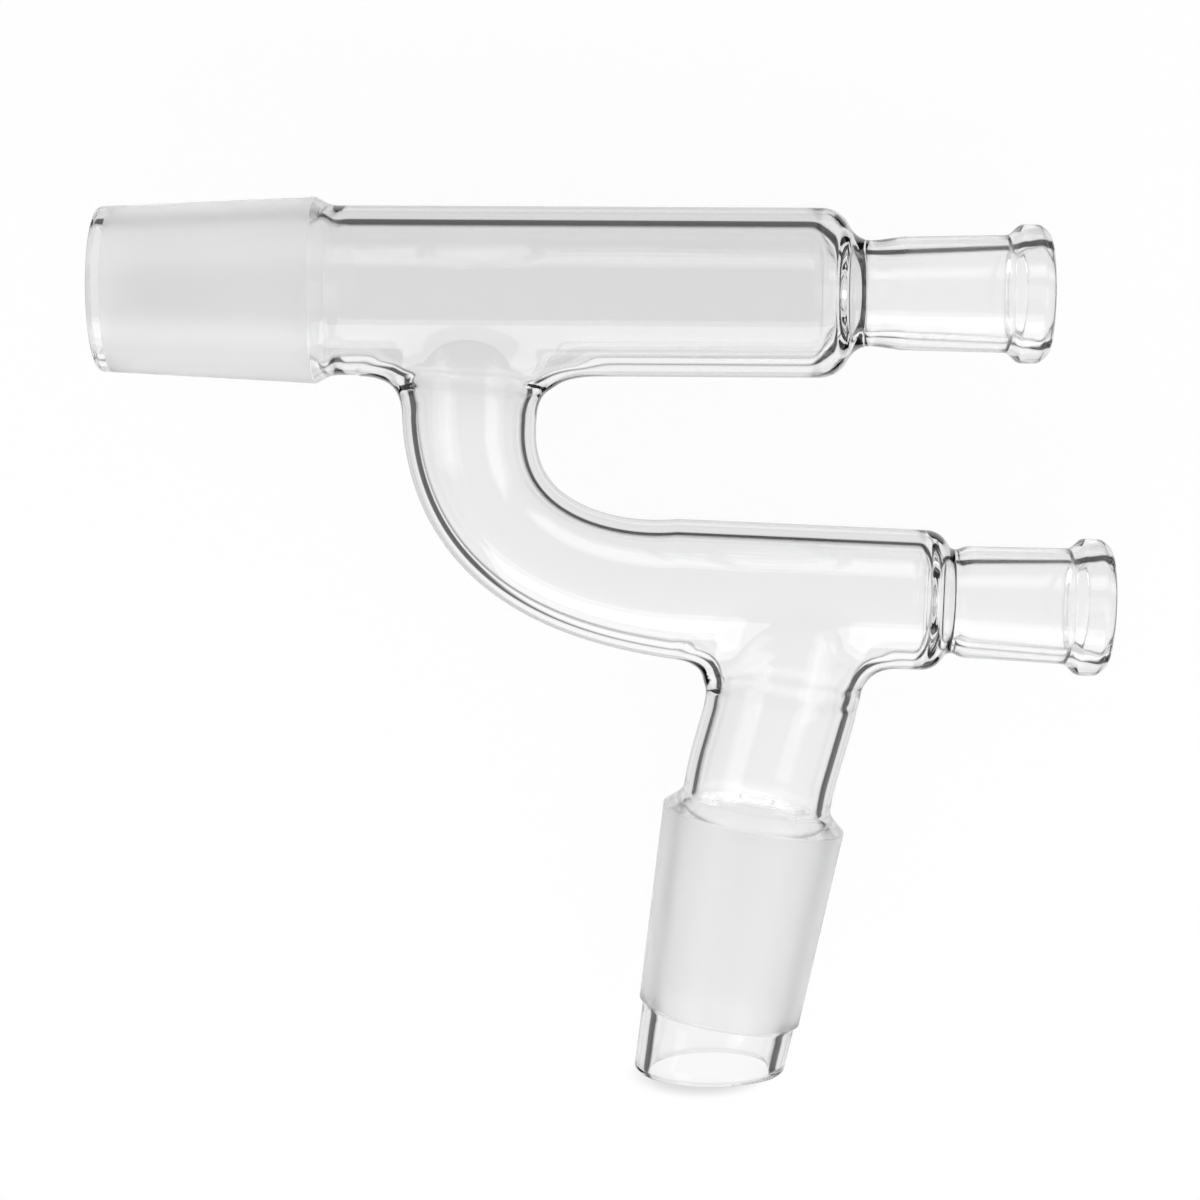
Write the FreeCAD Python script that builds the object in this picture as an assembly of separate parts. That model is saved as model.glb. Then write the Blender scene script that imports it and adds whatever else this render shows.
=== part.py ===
"""Claisen adapter, a forked connector of blown borosilicate glass, as one hollow piece.

The run is a straight tube with a tapered ground cone for the flask at its left end and a small
tapered socket at its right end. A bent tube leaves the run, turns parallel to it and carries a
second small socket. A side arm with a second tapered cone leaves the parallel tube.

All axes lie in one plane. The shape is drawn in that plane, with the run along X, and is then
laid on the ground as it comes to rest: on the large ends of both cones and on one socket bead.
Lengths are in millimetres and angles in degrees.
"""
import FreeCAD, Part
import math
import os

from FreeCAD import Placement, Rotation, Vector

# Tapered cone joint 29/32: large diameter and ground length, with the standard taper of 1 in 10.
CONE_LARGE_D = 29.2
CONE_GROUND = 32.0
JOINT_TAPER = 0.1
CONE_WALL = 2.8

# Tapered socket joint 14/23: mouth diameter and ground depth, with the same taper.
SOCKET_MOUTH_D = 14.5
SOCKET_GROUND = 23.0
SOCKET_ROOT_D = 17.7
SOCKET_BODY_D = 18.4
BEAD_D = 21.7
BEAD_WIDTH = 5.6
NECK_D = 16.4

# Run: the straight tube between the flask cone and the first socket.
RUN_D = 26.5
RUN_WALL = 2.9
RUN_LENGTH = 82.4
RUN_SLANT = 1.5
RUN_NECK = 7.8

# Bent tube: it leaves the run square to it, narrows in its turn and meets the parallel tube.
BEND_AT = 24.0
BEND_ROOT = 20.0
BEND_ROOT_D = 21.2
BEND_WAIST_D = 19.5
BEND_WAIST_AT = 0.4
BEND_WALL = 2.3
BEND_FIRST_PULL = 21.6
BEND_LAST_PULL = 12.0
BEND_STATIONS = 9

# Parallel tube: it carries the side arm and the second socket.
PARALLEL_AT = 56.5
PARALLEL_DROP = 46.75
PARALLEL_HEADING = -2.2
PARALLEL_D = 22.2
PARALLEL_WALL = 2.5
PARALLEL_LENGTH = 41.1
PARALLEL_SLANT = 1.8
PARALLEL_NECK = 2.8

# Side arm: a tube flared from its root, with a slight turn above its cone. Its root is narrower
# than the parallel tube by the inset on each side, so that the weld has glass to sit on.
ARM_AT = 22.1
ARM_HEADING = -105.5
ARM_D = 23.7
ARM_ROOT_INSET = 1.2
ARM_ROOT_D = PARALLEL_D - 2 * ARM_ROOT_INSET
ARM_FLARE = 17.0
ARM_FLARE_RADIUS = 25.0
ARM_WALL = 2.0
ARM_LENGTH = 27.9
ARM_COLLAR = 2.2
ARM_TURN = 6.2
ARM_TURN_RADIUS = 40.0

# Plain glass beyond the ground zones: a short rim on the flask cone and a longer tip on the arm.
RIM_LENGTH = 2.2
TIP_LENGTH = 11.8
TIP_START_D = 24.7
TIP_END_D = 23.8
TIP_STEP = 0.6
TIP_WALL = 2.4

# Rounded glass: welds, shoulders and melted edges.
RUN_WELD = 5.0
ARM_WELD = 3.5
RUN_INNER_WELD = 3.5
ARM_INNER_WELD = 2.5
SHOULDER_RADIUS = 3.2
SHOULDER_WALL = 2.2
NECK_RADIUS = 2.4
CONE_SHOULDER = 2.4
CONE_SHOULDER_RADIUS = 4.0
CONE_EDGE = 0.5
MELTED_EDGE = 0.9
BEAD_EDGE = 1.8
BEAD_ROOT = 0.8

# How far a bore's solid runs on past a mouth, and how near an edge must lie to be on a tube.
OVERRUN = 2.0
ON_TUBE = 0.02


def unit(heading):
    """The direction of a heading in the drawing plane."""
    angle = math.radians(heading)
    return Vector(math.cos(angle), math.sin(angle), 0)


# Where each tube starts in the drawing plane, and where the arm turns.
RUN_START = Vector(0, 0, 0)
BEND_HEADING = -90.0
BEND_TOP = Vector(BEND_AT, 0, 0)
BEND_START = BEND_TOP + unit(BEND_HEADING) * BEND_ROOT
PARALLEL_START = Vector(PARALLEL_AT, -PARALLEL_DROP, 0)
ARM_START = PARALLEL_START + unit(PARALLEL_HEADING) * ARM_AT
TURN_START = ARM_START + unit(ARM_HEADING) * ARM_LENGTH
TURN_CENTRE = TURN_START + unit(ARM_HEADING + 90) * ARM_TURN_RADIUS
CONE_HEADING = ARM_HEADING + ARM_TURN
CONE_START = TURN_CENTRE - unit(CONE_HEADING + 90) * ARM_TURN_RADIUS


def outline(corners):
    """A closed wire through (along, out, radius) corners, each rounded by a tangent arc.

    A radius is limited so that its arc takes at most half of the shorter side beside it.
    """
    points = [Vector(along, out, 0) for along, out, radius in corners]
    stops = []
    for index, (along, out, radius) in enumerate(corners):
        here = points[index]
        back = points[index - 1] - here
        ahead = points[(index + 1) % len(points)] - here
        room = min(back.Length, ahead.Length) / 2
        half = back.getAngle(ahead) / 2
        reach = min(radius / math.tan(half), room)
        back.normalize()
        ahead.normalize()
        if reach < 1e-3:
            stops.append((here, None, here))
            continue
        rounded = reach * math.tan(half)
        top = here + (back + ahead).normalize() * (rounded / math.sin(half) - rounded)
        stops.append((here + back * reach, top, here + ahead * reach))
    edges = []
    for index, (first, top, last) in enumerate(stops):
        if top is not None:
            edges.append(Part.Arc(first, top, last).toShape())
        following = stops[(index + 1) % len(stops)][0]
        if (following - last).Length > 1e-6:
            edges.append(Part.makeLine(last, following))
    return Part.Wire(edges)


def turned(corners, start, heading):
    """A solid of revolution: the corners run along a heading, from a start in the plane."""
    closed = [(corners[0][0], 0, 0)] + corners + [(corners[-1][0], 0, 0)]
    solid = Part.Face(outline(closed)).revolve(Vector(0, 0, 0), Vector(1, 0, 0), 360)
    solid.Placement = Placement(start, Rotation(Vector(0, 0, 1), heading))
    return solid


def cone_radius(along):
    """The outer radius of a ground cone at a distance from its large end."""
    return (CONE_LARGE_D - JOINT_TAPER * along) / 2


def socket_outside(shoulder, slant, neck):
    """Corners of a shoulder, neck, socket and bead, from the shoulder on."""
    root = shoulder + slant + neck
    mouth = root + SOCKET_GROUND
    bead = mouth - BEAD_WIDTH
    return [
        (shoulder + slant, NECK_D / 2, NECK_RADIUS),
        (root, SOCKET_ROOT_D / 2, NECK_RADIUS),
        (bead, SOCKET_BODY_D / 2, BEAD_ROOT),
        (bead, BEAD_D / 2, BEAD_EDGE),
        (mouth, BEAD_D / 2, BEAD_EDGE),
    ]


def socket_inside(shoulder, slant, neck):
    """Corners of the bore through the same shoulder, neck and socket, open at the mouth."""
    root = shoulder + slant + neck
    mouth = root + SOCKET_GROUND
    mouth_radius = SOCKET_MOUTH_D / 2
    small_radius = mouth_radius - JOINT_TAPER * SOCKET_GROUND / 2
    face_radius = (mouth_radius + BEAD_D / 2) / 2
    return [
        (shoulder + slant - SHOULDER_WALL, small_radius, NECK_RADIUS),
        (root, small_radius, 0),
        (mouth, mouth_radius, MELTED_EDGE),
        (mouth, face_radius, 0),
        (mouth + OVERRUN, face_radius, 0),
    ]


def bend_point(t):
    """Centre of the bend at t from 0 to 1, on a cubic curve pulled along its two end headings."""
    first_pull = BEND_START + unit(BEND_HEADING) * BEND_FIRST_PULL
    last_pull = PARALLEL_START - unit(PARALLEL_HEADING) * BEND_LAST_PULL
    s = 1 - t
    point = BEND_START * s ** 3 + first_pull * (3 * s * s * t)
    return point + last_pull * (3 * s * t * t) + PARALLEL_START * t ** 3


def bend_direction(t):
    """Direction of the same curve at t."""
    first_pull = BEND_START + unit(BEND_HEADING) * BEND_FIRST_PULL
    last_pull = PARALLEL_START - unit(PARALLEL_HEADING) * BEND_LAST_PULL
    s = 1 - t
    first = (first_pull - BEND_START) * (s * s)
    middle = (last_pull - first_pull) * (2 * s * t)
    return (first + middle + (PARALLEL_START - last_pull) * (t * t)).normalize()


def bend_radius(t):
    """Outer radius of the bend: it falls to the waist and rises again, each side a parabola."""
    waist = BEND_WAIST_D / 2
    if t < BEND_WAIST_AT:
        return waist + (BEND_ROOT_D / 2 - waist) * (1 - t / BEND_WAIST_AT) ** 2
    share = (t - BEND_WAIST_AT) / (1 - BEND_WAIST_AT)
    return waist + (PARALLEL_D / 2 - waist) * share ** 2


def bend_solid(first_wall, last_wall):
    """The bend as one smooth skin over circles set square to its curve."""
    circles = []
    for station in range(BEND_STATIONS):
        t = station / (BEND_STATIONS - 1)
        radius = bend_radius(t) - first_wall * (1 - t) - last_wall * t
        circle = Part.makeCircle(radius, bend_point(t), bend_direction(t))
        circles.append(Part.Wire(circle))
    return Part.makeLoft(circles, True, False)


def run_solids():
    """Outside and bore of the run: flask cone, straight tube and first socket."""
    radius = RUN_D / 2
    bore = radius - RUN_WALL
    rim = CONE_GROUND + RIM_LENGTH
    rim_bore = cone_radius(rim) - CONE_WALL
    rim_face = cone_radius(rim) - CONE_WALL / 2
    outside = [
        (-rim, cone_radius(rim), MELTED_EDGE),
        (0, cone_radius(0), CONE_EDGE),
        (CONE_SHOULDER, radius, CONE_SHOULDER_RADIUS),
        (RUN_LENGTH, radius, SHOULDER_RADIUS),
    ]
    inside = [
        (-rim - OVERRUN, rim_face, 0),
        (-rim, rim_face, 0),
        (-rim, rim_bore, MELTED_EDGE),
        (0, cone_radius(0) - CONE_WALL, CONE_SHOULDER_RADIUS),
        (2 * CONE_SHOULDER, bore, CONE_SHOULDER_RADIUS),
        (RUN_LENGTH - SHOULDER_WALL, bore, SHOULDER_RADIUS),
    ]
    outside += socket_outside(RUN_LENGTH, RUN_SLANT, RUN_NECK)
    inside += socket_inside(RUN_LENGTH, RUN_SLANT, RUN_NECK)
    return turned(outside, RUN_START, 0), turned(inside, RUN_START, 0)


def bend_solids():
    """Outside and bore of the bent tube, from the run's axis to the parallel tube."""
    radius = BEND_ROOT_D / 2
    root = turned([(0, radius, 0), (BEND_ROOT, radius, 0)], BEND_TOP, BEND_HEADING)
    bore = radius - BEND_WALL
    root_bore = turned([(0, bore, 0), (BEND_ROOT, bore, 0)], BEND_TOP, BEND_HEADING)
    return root, bend_solid(0, 0), root_bore, bend_solid(BEND_WALL, PARALLEL_WALL)


def parallel_solids():
    """Outside and bore of the parallel tube and the second socket."""
    radius = PARALLEL_D / 2
    bore = radius - PARALLEL_WALL
    outside = [(0, radius, 0), (PARALLEL_LENGTH, radius, SHOULDER_RADIUS)]
    inside = [(0, bore, 0), (PARALLEL_LENGTH - SHOULDER_WALL, bore, SHOULDER_RADIUS)]
    outside += socket_outside(PARALLEL_LENGTH, PARALLEL_SLANT, PARALLEL_NECK)
    inside += socket_inside(PARALLEL_LENGTH, PARALLEL_SLANT, PARALLEL_NECK)
    return (turned(outside, PARALLEL_START, PARALLEL_HEADING),
            turned(inside, PARALLEL_START, PARALLEL_HEADING))


def arm_root(inset):
    """The side arm's straight tube, flared from its root on the parallel tube's axis."""
    corners = [
        (0, ARM_ROOT_D / 2 - inset, 0),
        (ARM_FLARE, ARM_D / 2 - inset, ARM_FLARE_RADIUS),
        (ARM_LENGTH, ARM_D / 2 - inset, 0),
    ]
    return turned(corners, ARM_START, ARM_HEADING)


def arm_turn(inset):
    """The slight turn above the arm's cone, a circle carried round an arc."""
    circle = Part.makeCircle(ARM_D / 2 - inset, TURN_START, unit(ARM_HEADING))
    disc = Part.Face(Part.Wire(circle))
    return disc.revolve(TURN_CENTRE, Vector(0, 0, 1), ARM_TURN)


def arm_cone_solids():
    """Outside and bore of the arm's cone: shoulder, ground taper and plain tip."""
    large = ARM_COLLAR + CONE_SHOULDER
    small = large + CONE_GROUND
    end = small + TIP_LENGTH
    end_bore = TIP_END_D / 2 - TIP_WALL
    end_face = TIP_END_D / 2 - TIP_WALL / 2
    outside = [
        (0, ARM_D / 2, 0),
        (ARM_COLLAR, ARM_D / 2, CONE_SHOULDER_RADIUS),
        (large, cone_radius(0), CONE_EDGE),
        (small, cone_radius(CONE_GROUND), 0),
        (small + TIP_STEP, TIP_START_D / 2, TIP_STEP),
        (end, TIP_END_D / 2, MELTED_EDGE),
    ]
    inside = [
        (0, ARM_D / 2 - ARM_WALL, 0),
        (ARM_COLLAR, ARM_D / 2 - ARM_WALL, CONE_SHOULDER_RADIUS),
        (large + CONE_SHOULDER, cone_radius(0) - CONE_WALL, CONE_SHOULDER_RADIUS),
        (small, cone_radius(CONE_GROUND) - CONE_WALL, 0),
        (small + CONE_SHOULDER, TIP_START_D / 2 - TIP_WALL, CONE_SHOULDER_RADIUS),
        (end, end_bore, MELTED_EDGE),
        (end, end_face, 0),
        (end + OVERRUN, end_face, 0),
    ]
    return turned(outside, CONE_START, CONE_HEADING), turned(inside, CONE_START, CONE_HEADING)


def weld_edges(shape, start, heading, tube_radius, at):
    """Edges where another tube leaves a tube at a point: they lie on it and don't circle it."""
    direction = unit(heading)
    chosen = []
    for edge in shape.Edges:
        if isinstance(edge.Curve, (Part.Line, Part.Circle)):
            continue
        first, last = edge.ParameterRange
        samples = [edge.valueAt(first + (last - first) * share / 6) for share in range(7)]
        offsets = [(point - start).cross(direction).Length - tube_radius for point in samples]
        spans = [(point - at).Length for point in samples]
        if max(map(abs, offsets)) < ON_TUBE and max(spans) < 2 * tube_radius:
            chosen.append(edge)
    return chosen


def welded(pieces, run_radius, parallel_radius, run_weld, arm_weld):
    """The pieces as one solid, its two tee joints rounded as melted glass."""
    solid = pieces[0].multiFuse(pieces[1:]).removeSplitter()
    run_edges = weld_edges(solid, RUN_START, 0, run_radius, BEND_TOP)
    solid = solid.makeFillet(run_weld, run_edges)
    arm_edges = weld_edges(solid, PARALLEL_START, PARALLEL_HEADING, parallel_radius, ARM_START)
    return solid.makeFillet(arm_weld, arm_edges)


def adapter():
    """The whole adapter in its drawing plane."""
    run, run_bore = run_solids()
    root, bend, root_bore, bend_bore = bend_solids()
    parallel, parallel_bore = parallel_solids()
    cone, cone_bore = arm_cone_solids()
    outside = [run, root, bend, parallel, arm_root(0), arm_turn(0), cone]
    bores = [run_bore, root_bore, bend_bore, parallel_bore]
    bores += [arm_root(ARM_WALL), arm_turn(ARM_WALL), cone_bore]
    run_radius = RUN_D / 2
    parallel_radius = PARALLEL_D / 2
    body = welded(outside, run_radius, parallel_radius, RUN_WELD, ARM_WELD)
    hollow = welded(
        bores, run_radius - RUN_WALL, parallel_radius - PARALLEL_WALL,
        RUN_INNER_WELD, ARM_INNER_WELD,
    )
    return body.cut(hollow)


def resting_tilt():
    """The turn that lays the plane on its three contacts: both cones' large ends and a bead."""
    bead = RUN_LENGTH + RUN_SLANT + RUN_NECK + SOCKET_GROUND - BEAD_WIDTH / 2
    arm_large = CONE_START + unit(CONE_HEADING) * (ARM_COLLAR + CONE_SHOULDER)
    contacts = [
        Vector(0, 0, CONE_LARGE_D / 2),
        Vector(arm_large.x, arm_large.y, CONE_LARGE_D / 2),
        Vector(bead, 0, BEAD_D / 2),
    ]
    normal = (contacts[1] - contacts[0]).cross(contacts[2] - contacts[0]).normalize()
    return Rotation(Vector(0, 0, 1), normal)


def laid_down(shape):
    """The shape tilted to rest, its box centred on the origin and its lowest point at height 0."""
    resting = shape.copy()
    resting.Placement = Placement(Vector(0, 0, 0), resting_tilt())
    box = resting.optimalBoundingBox(False, False)
    centre = Vector(-box.Center.x, -box.Center.y, -box.ZMin)
    resting.translate(centre)
    return resting


os.makedirs("parts", exist_ok=True)
glass = laid_down(adapter())
glass.exportStep("parts/claisen_adapter.step")
box = glass.BoundBox
print("solids", len(glass.Solids), "valid", glass.isValid(), "volume", round(glass.Volume, 1))
print("size", round(box.XLength, 2), round(box.YLength, 2), round(box.ZLength, 2))
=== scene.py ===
"""Looks of the claisen adapter: one piece of clear blown glass with two ground cones.

The glass is one closed skin, computed on grids from the same lengths as the part's source. It is
drawn in the plane of its axes, X along the run and Z out of the plane, in millimetres, and is
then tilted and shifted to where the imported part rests. Angles are in degrees.
"""

import math

import bmesh
import bpy
import numpy as np
from mathutils import Matrix, Vector


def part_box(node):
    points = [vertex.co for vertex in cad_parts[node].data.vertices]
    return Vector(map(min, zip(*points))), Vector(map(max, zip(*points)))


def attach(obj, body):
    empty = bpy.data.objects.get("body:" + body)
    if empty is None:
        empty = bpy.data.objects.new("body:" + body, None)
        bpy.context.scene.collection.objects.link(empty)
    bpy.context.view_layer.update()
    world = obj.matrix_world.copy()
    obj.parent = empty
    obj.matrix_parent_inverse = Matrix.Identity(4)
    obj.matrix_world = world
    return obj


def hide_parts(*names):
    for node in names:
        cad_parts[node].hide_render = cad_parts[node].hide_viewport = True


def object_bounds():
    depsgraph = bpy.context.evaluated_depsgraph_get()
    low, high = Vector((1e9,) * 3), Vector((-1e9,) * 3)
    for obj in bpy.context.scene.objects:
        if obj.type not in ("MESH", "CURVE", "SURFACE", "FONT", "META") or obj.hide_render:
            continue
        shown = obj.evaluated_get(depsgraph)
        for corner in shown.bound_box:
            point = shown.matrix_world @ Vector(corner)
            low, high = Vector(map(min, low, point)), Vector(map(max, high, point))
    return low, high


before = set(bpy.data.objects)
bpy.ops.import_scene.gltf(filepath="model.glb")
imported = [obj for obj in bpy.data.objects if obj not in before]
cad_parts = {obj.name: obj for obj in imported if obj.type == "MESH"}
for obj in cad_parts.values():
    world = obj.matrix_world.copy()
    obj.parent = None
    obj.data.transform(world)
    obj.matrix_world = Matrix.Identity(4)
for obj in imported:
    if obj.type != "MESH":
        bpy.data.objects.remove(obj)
cad_low, cad_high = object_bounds()

# A millimetre in metres.
MM = 0.001

# Lengths: how near to a line a point counts as on it, and one too small to matter.
ON_LINE = 0.01
TINY = 1e-6

# Ground cones: large end, taper, ground length, wall, shoulder and rounded edges.
CONE_LARGE_R = 14.6
CONE_TAPER = 0.05
CONE_GROUND = 32.0
CONE_WALL = 2.8
CONE_SHOULDER = 2.4
CONE_ROUND = 4.0
CONE_EDGE = 0.5
MELTED_EDGE = 0.9

# Grinding: how far below a cone's large end it starts, the width in which it ends, and the clear
# ends of a socket's ground bore.
GRIND_START = 0.2
GRIND_FADE = 0.04
SOCKET_CLEAR = 0.3

# The step from the arm's bore to its cone's bore: how far below the large end, and its rounding.
ARM_STEP = 0.4
ARM_STEP_ROUND = 2.4

# Small sockets: mouth, bore, root, body, bead and neck.
SOCKET_MOUTH_R = 7.25
SOCKET_BORE_R = 6.1
SOCKET_ROOT_R = 8.85
SOCKET_BODY_R = 9.2
SOCKET_GROUND = 23.0
BEAD_R = 10.85
BEAD_WIDTH = 5.6
BEAD_SLOPE = 1.7
BEAD_ROUND = 1.6
BEAD_FALL = 1.6
LIP_R = 9.4
LIP_ROUND = 1.8
FLARE_R = 8.1
FLARE_LENGTH = 4.2
NECK_R = 7.9
NECK_ROUND = 4.0
SHOULDER_ROUND = 4.8
SHOULDER_WALL = 2.2

# Run: start, heading, radius, wall, length to its shoulder, shoulder slant, neck and flask rim.
RUN_START = np.array([0.0, 0.0, 0.0])
RUN_HEADING = 0.0
RUN_R = 13.25
RUN_WALL = 2.9
RUN_LENGTH = 82.0
RUN_SLANT = 2.6
RUN_NECK = 7.1
RIM_LENGTH = 2.2

# Bent tube: where it leaves the run, its straight root, radii, walls and the pulls of its curve.
BEND_AT = 24.0
BEND_HEADING = -90.0
BEND_ROOT = 20.0
BEND_ROOT_R = 10.6
BEND_WAIST_R = 9.75
BEND_WAIST_AT = 0.4
BEND_WALL = 2.3
BEND_FIRST_PULL = 21.6
BEND_LAST_PULL = 12.0

# Parallel tube: start, heading, radius, wall, length to its shoulder, shoulder slant and neck.
PARALLEL_START = np.array([56.5, -46.75, 0.0])
PARALLEL_HEADING = -2.2
PARALLEL_R = 11.1
PARALLEL_WALL = 2.5
PARALLEL_LENGTH = 41.4
PARALLEL_SLANT = 2.3
PARALLEL_NECK = 2.0

# Side arm: where it leaves the parallel tube, its flare, wall, turn, collar and tip. The tip is cut
# at a slant, shorter on its right side.
ARM_AT = 22.1
ARM_HEADING = -105.5
ARM_R = 11.85
ARM_ROOT_R = 9.9
ARM_FLARE = 17.0
ARM_FLARE_ROUND = 25.0
ARM_WALL = 2.0
ARM_LENGTH = 27.9
ARM_COLLAR = 2.2
ARM_TURN = 6.2
ARM_TURN_R = 40.0
ARM_RING = 26.0
TIP_LENGTH = 11.8
TIP_START_R = 12.35
TIP_END_R = 11.9
TIP_STEP = 0.6
TIP_WALL = 2.4
TIP_CUT = 3.7

# Welds: the melted glass in the two tees, outside and in the bore, as rounding radii on the near
# side and on the far side of each branch, and how much farther the far side runs along its tube.
# Then the fill's width against its radius, and how often its points are sought and moved.
RUN_WELD = (5.6, 5.7, 1.5)
RUN_INNER_WELD = (7.6, 8.0, 1.6)
ARM_WELD = (5.6, 6.3, 1.0)
ARM_INNER_WELD = (7.4, 8.5, 1.0)
WELD_WIDTH = 1.17
WELD_HALVINGS = 50
WELD_PASSES = 12

# Seams: the ring of melted glass in each tee, by its distance and heading from the branch's
# start, its half-width, how far it swells outside and in the bore, how far it wavers, and its
# waves as (count round the ring, start in radians, share).
RUN_SEAM = (14.0, -93.2)
ARM_SEAM = (15.4, -96.0)
SEAM_WIDTH = 0.85
SEAM_SWELL = 0.18
SEAM_INNER_SWELL = -0.32
SEAM_WAVE = 0.3
SEAM_WAVES = [(2, 0.6, 1.0), (5, 0.0, 0.5)]

# Grids: rows along the longer walls, columns round each tube, rows and columns of the holes cut
# for the branches, and how far those holes reach back and ahead of a branch's start.
CONE_ROWS = 24
CONE_BORE_ROWS = 20
SOCKET_ROWS = 12
FLARE_ROWS = 14
RUN_ROWS = 22
RUN_COLUMNS = 72
RUN_HOLE_COLUMNS = 30
RUN_HOLE_ROWS = 26
RUN_HOLE_BACK = 17.5
RUN_HOLE_AHEAD = 25.0
PARALLEL_COLUMNS = 112
PARALLEL_HOLE_COLUMNS = 54
PARALLEL_HOLE_ROWS = 20
PARALLEL_HOLE_BACK = 21.5
PARALLEL_HOLE_AHEAD = 14.9
ARM_COLUMNS = 148
PATCH_ROWS = 32
BEND_ROWS = 46

# The largest angle between an arc's points, and the gap in metres that the merge closes.
ARC_STEP = 11.0
MERGE_GAP = 2e-6

# Painted shade, as a share from 0 to 1, for the glass's own shadow on the ground showing through
# the run and its cone: how much a cone has, what its middle line adds at its large end and toward
# its rim, that line's place and width, and the zones where the share changes, all in the drawing
# plane.
CONE_SHADE = 0.45
MIDDLE_SHADE = 0.3
CONE_RIM_SHADE = 0.35
MIDDLE_LINE = -1.5
MIDDLE_WIDTH = 5.0
CONE_TO_RIM = (5, 30)
CONE_TO_RUN = (-2, 3)
BEND_TO_RUN = (-24, -9)
RUN_TO_SOCKET = (78, 87)

# Glass: how much it bends light, its own tint, the darker tint of painted shade, and what a shadow
# lets through.
GLASS_IOR = 1.473
GLASS_TINT = (0.960, 0.962, 0.961, 1)
SHADED_TINT = (0.877, 0.879, 0.878, 1)
SHADOW_TINT = (0.86, 0.86, 0.86, 1)

# The longer way of light through a rim: its tint, from which slant of the skin it shows, and how
# much of it the frost takes away.
RIM_TINT = (0.36, 0.37, 0.37, 1)
RIM_START = 0.64
RIM_FULL = 0.90
FROST_RIM = 0.6

# Ground glass: how frosted a socket's bore is against a cone, the roughness, the share of haze,
# the haze's colour and the grinding's fine grain.
SOCKET_FROST = 0.25
FROST_ROUGH = 0.40
FROST_HAZE = 0.26
HAZE_COLOUR = (0.98, 0.98, 0.98, 1)
GRAIN_SCALE = 2600.0
GRAIN_STRENGTH = 0.25
GRAIN_DEPTH = 0.00006

# White light, as the page and the sheet show it.
WHITE = (1, 1, 1, 1)

# The ground sheet in metres: its size, its gap below the glass and its matt share, which takes the
# shadows.
SHEET_HALF = 3.0
SHEET_GAP = 0.00005
SHEET_MATT = (0.80, 0.80, 0.80, 1)
SHEET_SHARE = 0.08

# The faint painted shadow under the arm's tip, a dimmer patch of the sheet's glow: its middle and
# half-lengths in metres, from which part of them it fades, and its level.
TIP_SHADOW_PLACE = (0.0154, -0.0742, 0.0)
TIP_SHADOW_SIZE = (0.0127, 0.0046, 1.0)
TIP_SHADOW_CORE = 0.5
TIP_SHADOW_LEVEL = 0.70

# The surroundings, as (part of a ray's direction, level) stops. The backdrop below follows Y and
# the room above follows Z. A dark ring lies between them, except towards the front.
BACKDROP_LIGHT = [(-1.0, 1.05), (-0.35, 1.0), (-0.1, 0.9), (0.2, 0.88), (1.0, 0.88)]
BACKDROP_TOP = -0.41
ROOM_LIGHT = [(-1.0, 0.72), (0.0, 0.72), (0.8, 0.9), (1.0, 0.9)]
RING_SHARE = [
    (-1.0, 0.0),
    (-0.875, 0.0),
    (-0.82, 0.06),
    (-0.78, 0.2),
    (-0.735, 1.0),
    (-0.54, 1.0),
    (-0.44, 0.0),
    (1.0, 0.0),
]
RING_LIGHT = 0.04
FRONT_SHARE = [(-1.0, 1.0), (-0.76, 1.0), (-0.62, 0.0), (1.0, 0.0)]

# Lamps: name, place and size in metres, and power in watts.
LAMPS = [
    ("lamp_left", (-0.6, 0.0, 0.6), (0.46, 0.45), 0.6),
    ("lamp_right", (0.6, 0.0, 0.55), (0.46, 0.45), 0.55),
    ("lamp_front", (0.0, -0.8, 0.45), (1.4, 0.65), 6.0),
]
LAMP_AIM = (0.0, 0.0, 0.015)

# The camera of the photograph, found from the joints' known sizes: its place over the drawing
# plane in millimetres, how far it leans, how the page is turned on that plane, its lens, and how
# near in metres it starts to see.
CAMERA_PLACE = np.array([50.06, 7.16, 472.44])
CAMERA_PITCH = 6.730
CAMERA_YAW = 0.678
PAGE_TURN = 0.3
LENS_MM = 90.0
SENSOR_MM = 36.0
CLIP_START = 0.01


def direction(heading):
    """Unit vector (cos h, sin h, 0) of a heading h in the drawing plane."""
    angle = math.radians(heading)
    return np.array([math.cos(angle), math.sin(angle), 0.0])


def section(corners, closed):
    """Points (along, out) of a wall's section through corners (along, out, radius, steps).

    A corner whose sides meet at an angle a is cut back by radius / tan(a / 2), at most half of
    its shorter side, and rounded by the arc tangent to both. Its steps divide the straight that
    follows it. The ends of an open section keep their places.
    """
    points = np.array([corner[:2] for corner in corners])
    radii = [corner[2] for corner in corners]
    steps = [corner[3] for corner in corners]
    count = len(corners)
    arcs = []
    for index, radius in enumerate(radii):
        here = points[index]
        back = points[index - 1] - here
        ahead = points[(index + 1) % count] - here
        at_end = not closed and index in (0, count - 1)
        if radius == 0 or at_end:
            arcs.append(here[None])
            continue
        room = min(np.hypot(*back), np.hypot(*ahead)) / 2
        back = back / np.hypot(*back)
        ahead = ahead / np.hypot(*ahead)
        half = math.acos(np.clip(back @ ahead, -1, 1)) / 2
        reach = min(radius / math.tan(half), room)
        centre = here + (back + ahead) / np.hypot(*(back + ahead)) * (reach / math.cos(half))
        first = here + back * reach - centre
        last = here + ahead * reach - centre
        turn = math.pi - 2 * half
        share = np.linspace(0, 1, math.ceil(math.degrees(turn) / ARC_STEP) + 1)[:, None]
        arc = (np.sin((1 - share) * turn) * first + np.sin(share * turn) * last) / math.sin(turn)
        arcs.append(centre + arc)
    runs = []
    for index, arc in enumerate(arcs):
        runs.append(arc)
        if closed or index < count - 1:
            following = arcs[(index + 1) % count][0]
            share = np.linspace(0, 1, steps[index] + 1)[1:-1, None]
            runs.append(arc[-1] * (1 - share) + following * share)
    return np.concatenate(runs)


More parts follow.
